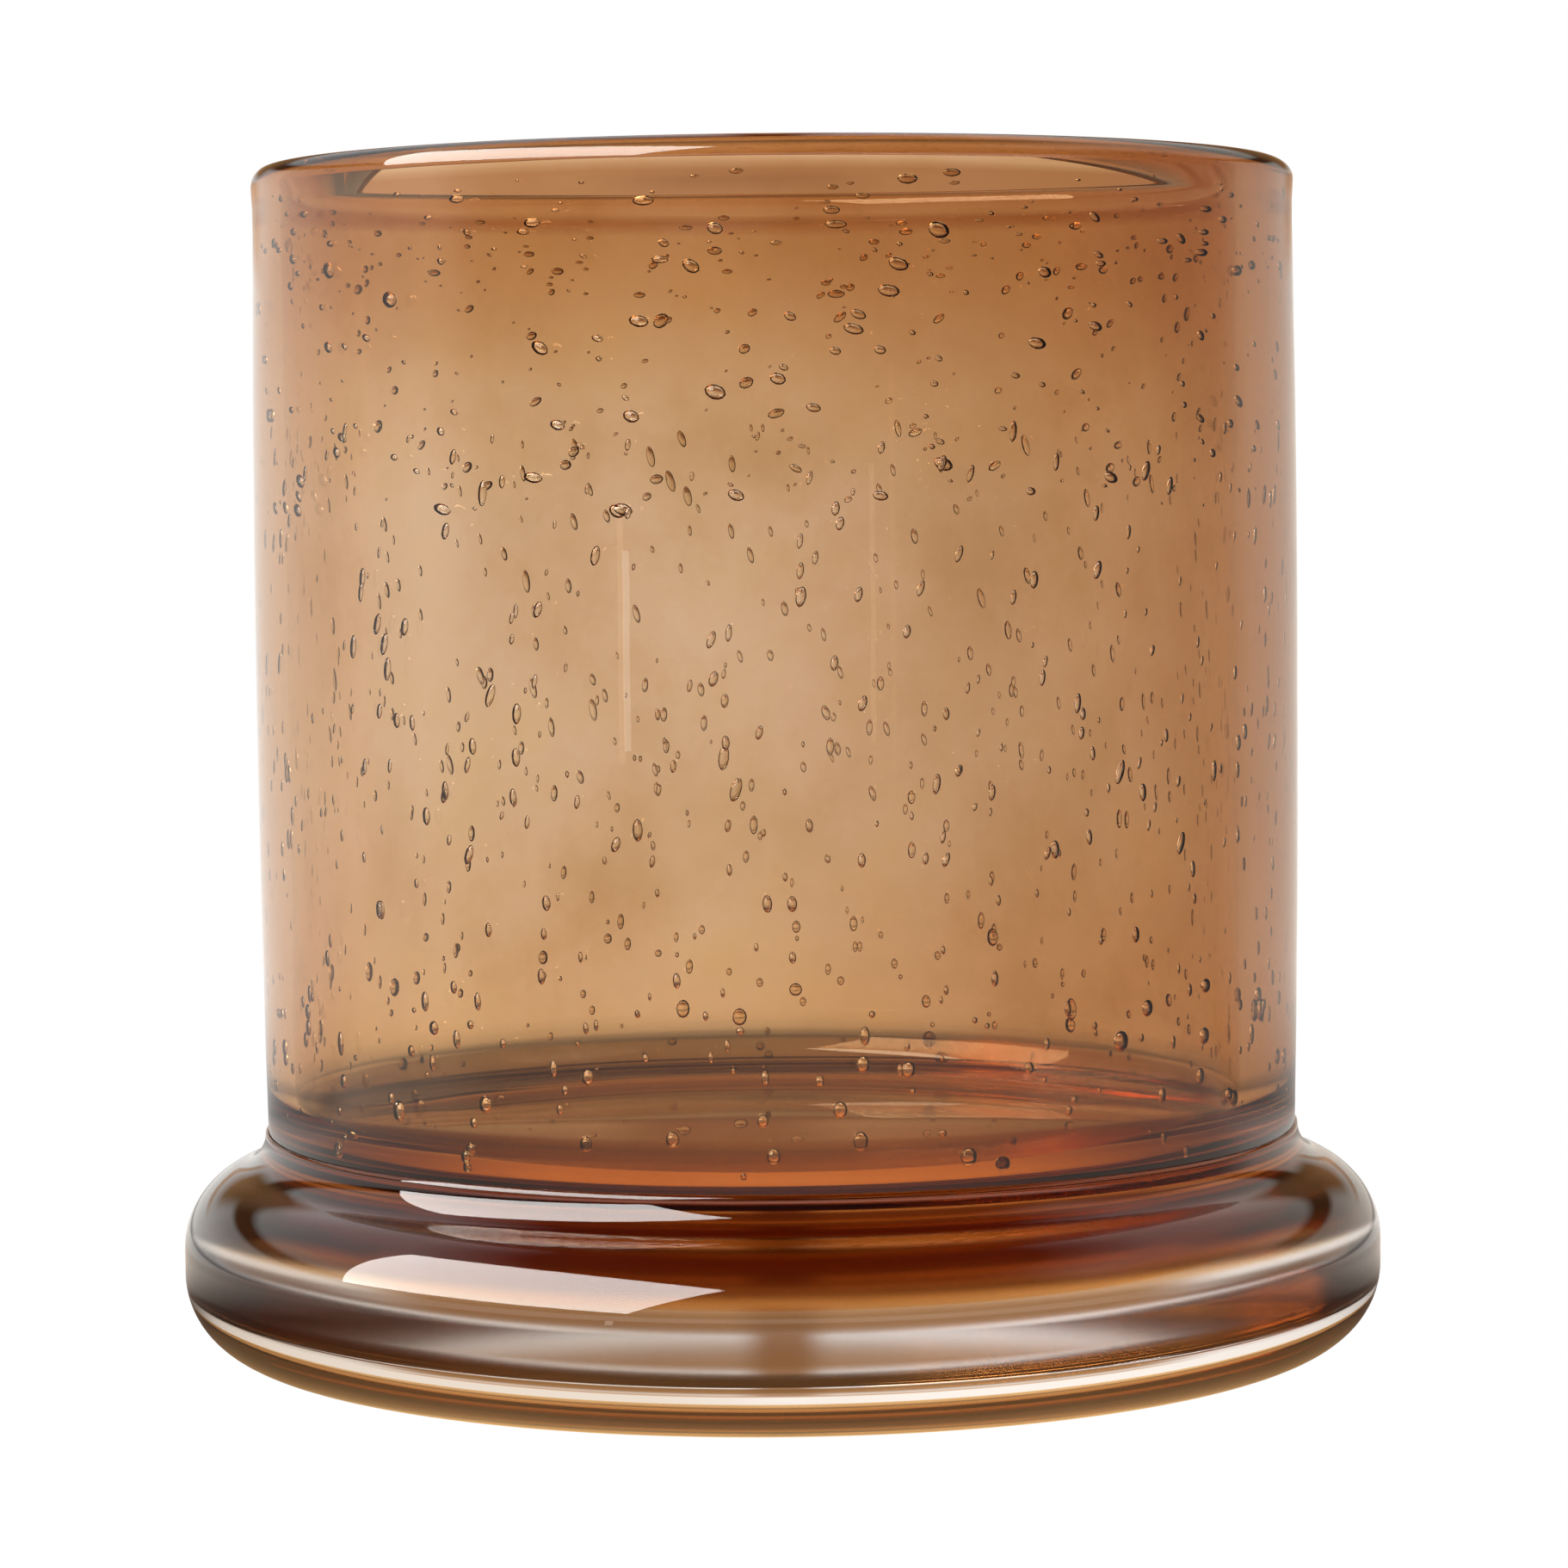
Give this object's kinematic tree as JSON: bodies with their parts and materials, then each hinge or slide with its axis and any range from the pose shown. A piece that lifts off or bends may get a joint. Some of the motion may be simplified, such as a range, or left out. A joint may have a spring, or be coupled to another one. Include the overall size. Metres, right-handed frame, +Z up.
{
  "type": "candle jar",
  "caption": "Footed candle jar: a straight amber seeded-glass cup with a fire-polished rim, fused onto a wide, thick clear glass foot.",
  "frame": {"origin": "centre of the foot's flat underside, on the surface that the jar stands on", "axes": "+Z up along the jar's outer axis, towards the rim; the wall is thinnest on the -X side and thickest on the +X side"},
  "size_m": [0.12, 0.12, 0.1175],
  "materials": {
    "amber_glass": "smooth blown amber glass full of small air bubbles",
    "clear_glass": "smooth solid clear glass"
  },
  "bodies": {
    "root": {"cup": "amber_glass", "foot": "clear_glass"}
  },
  "joints": []
}
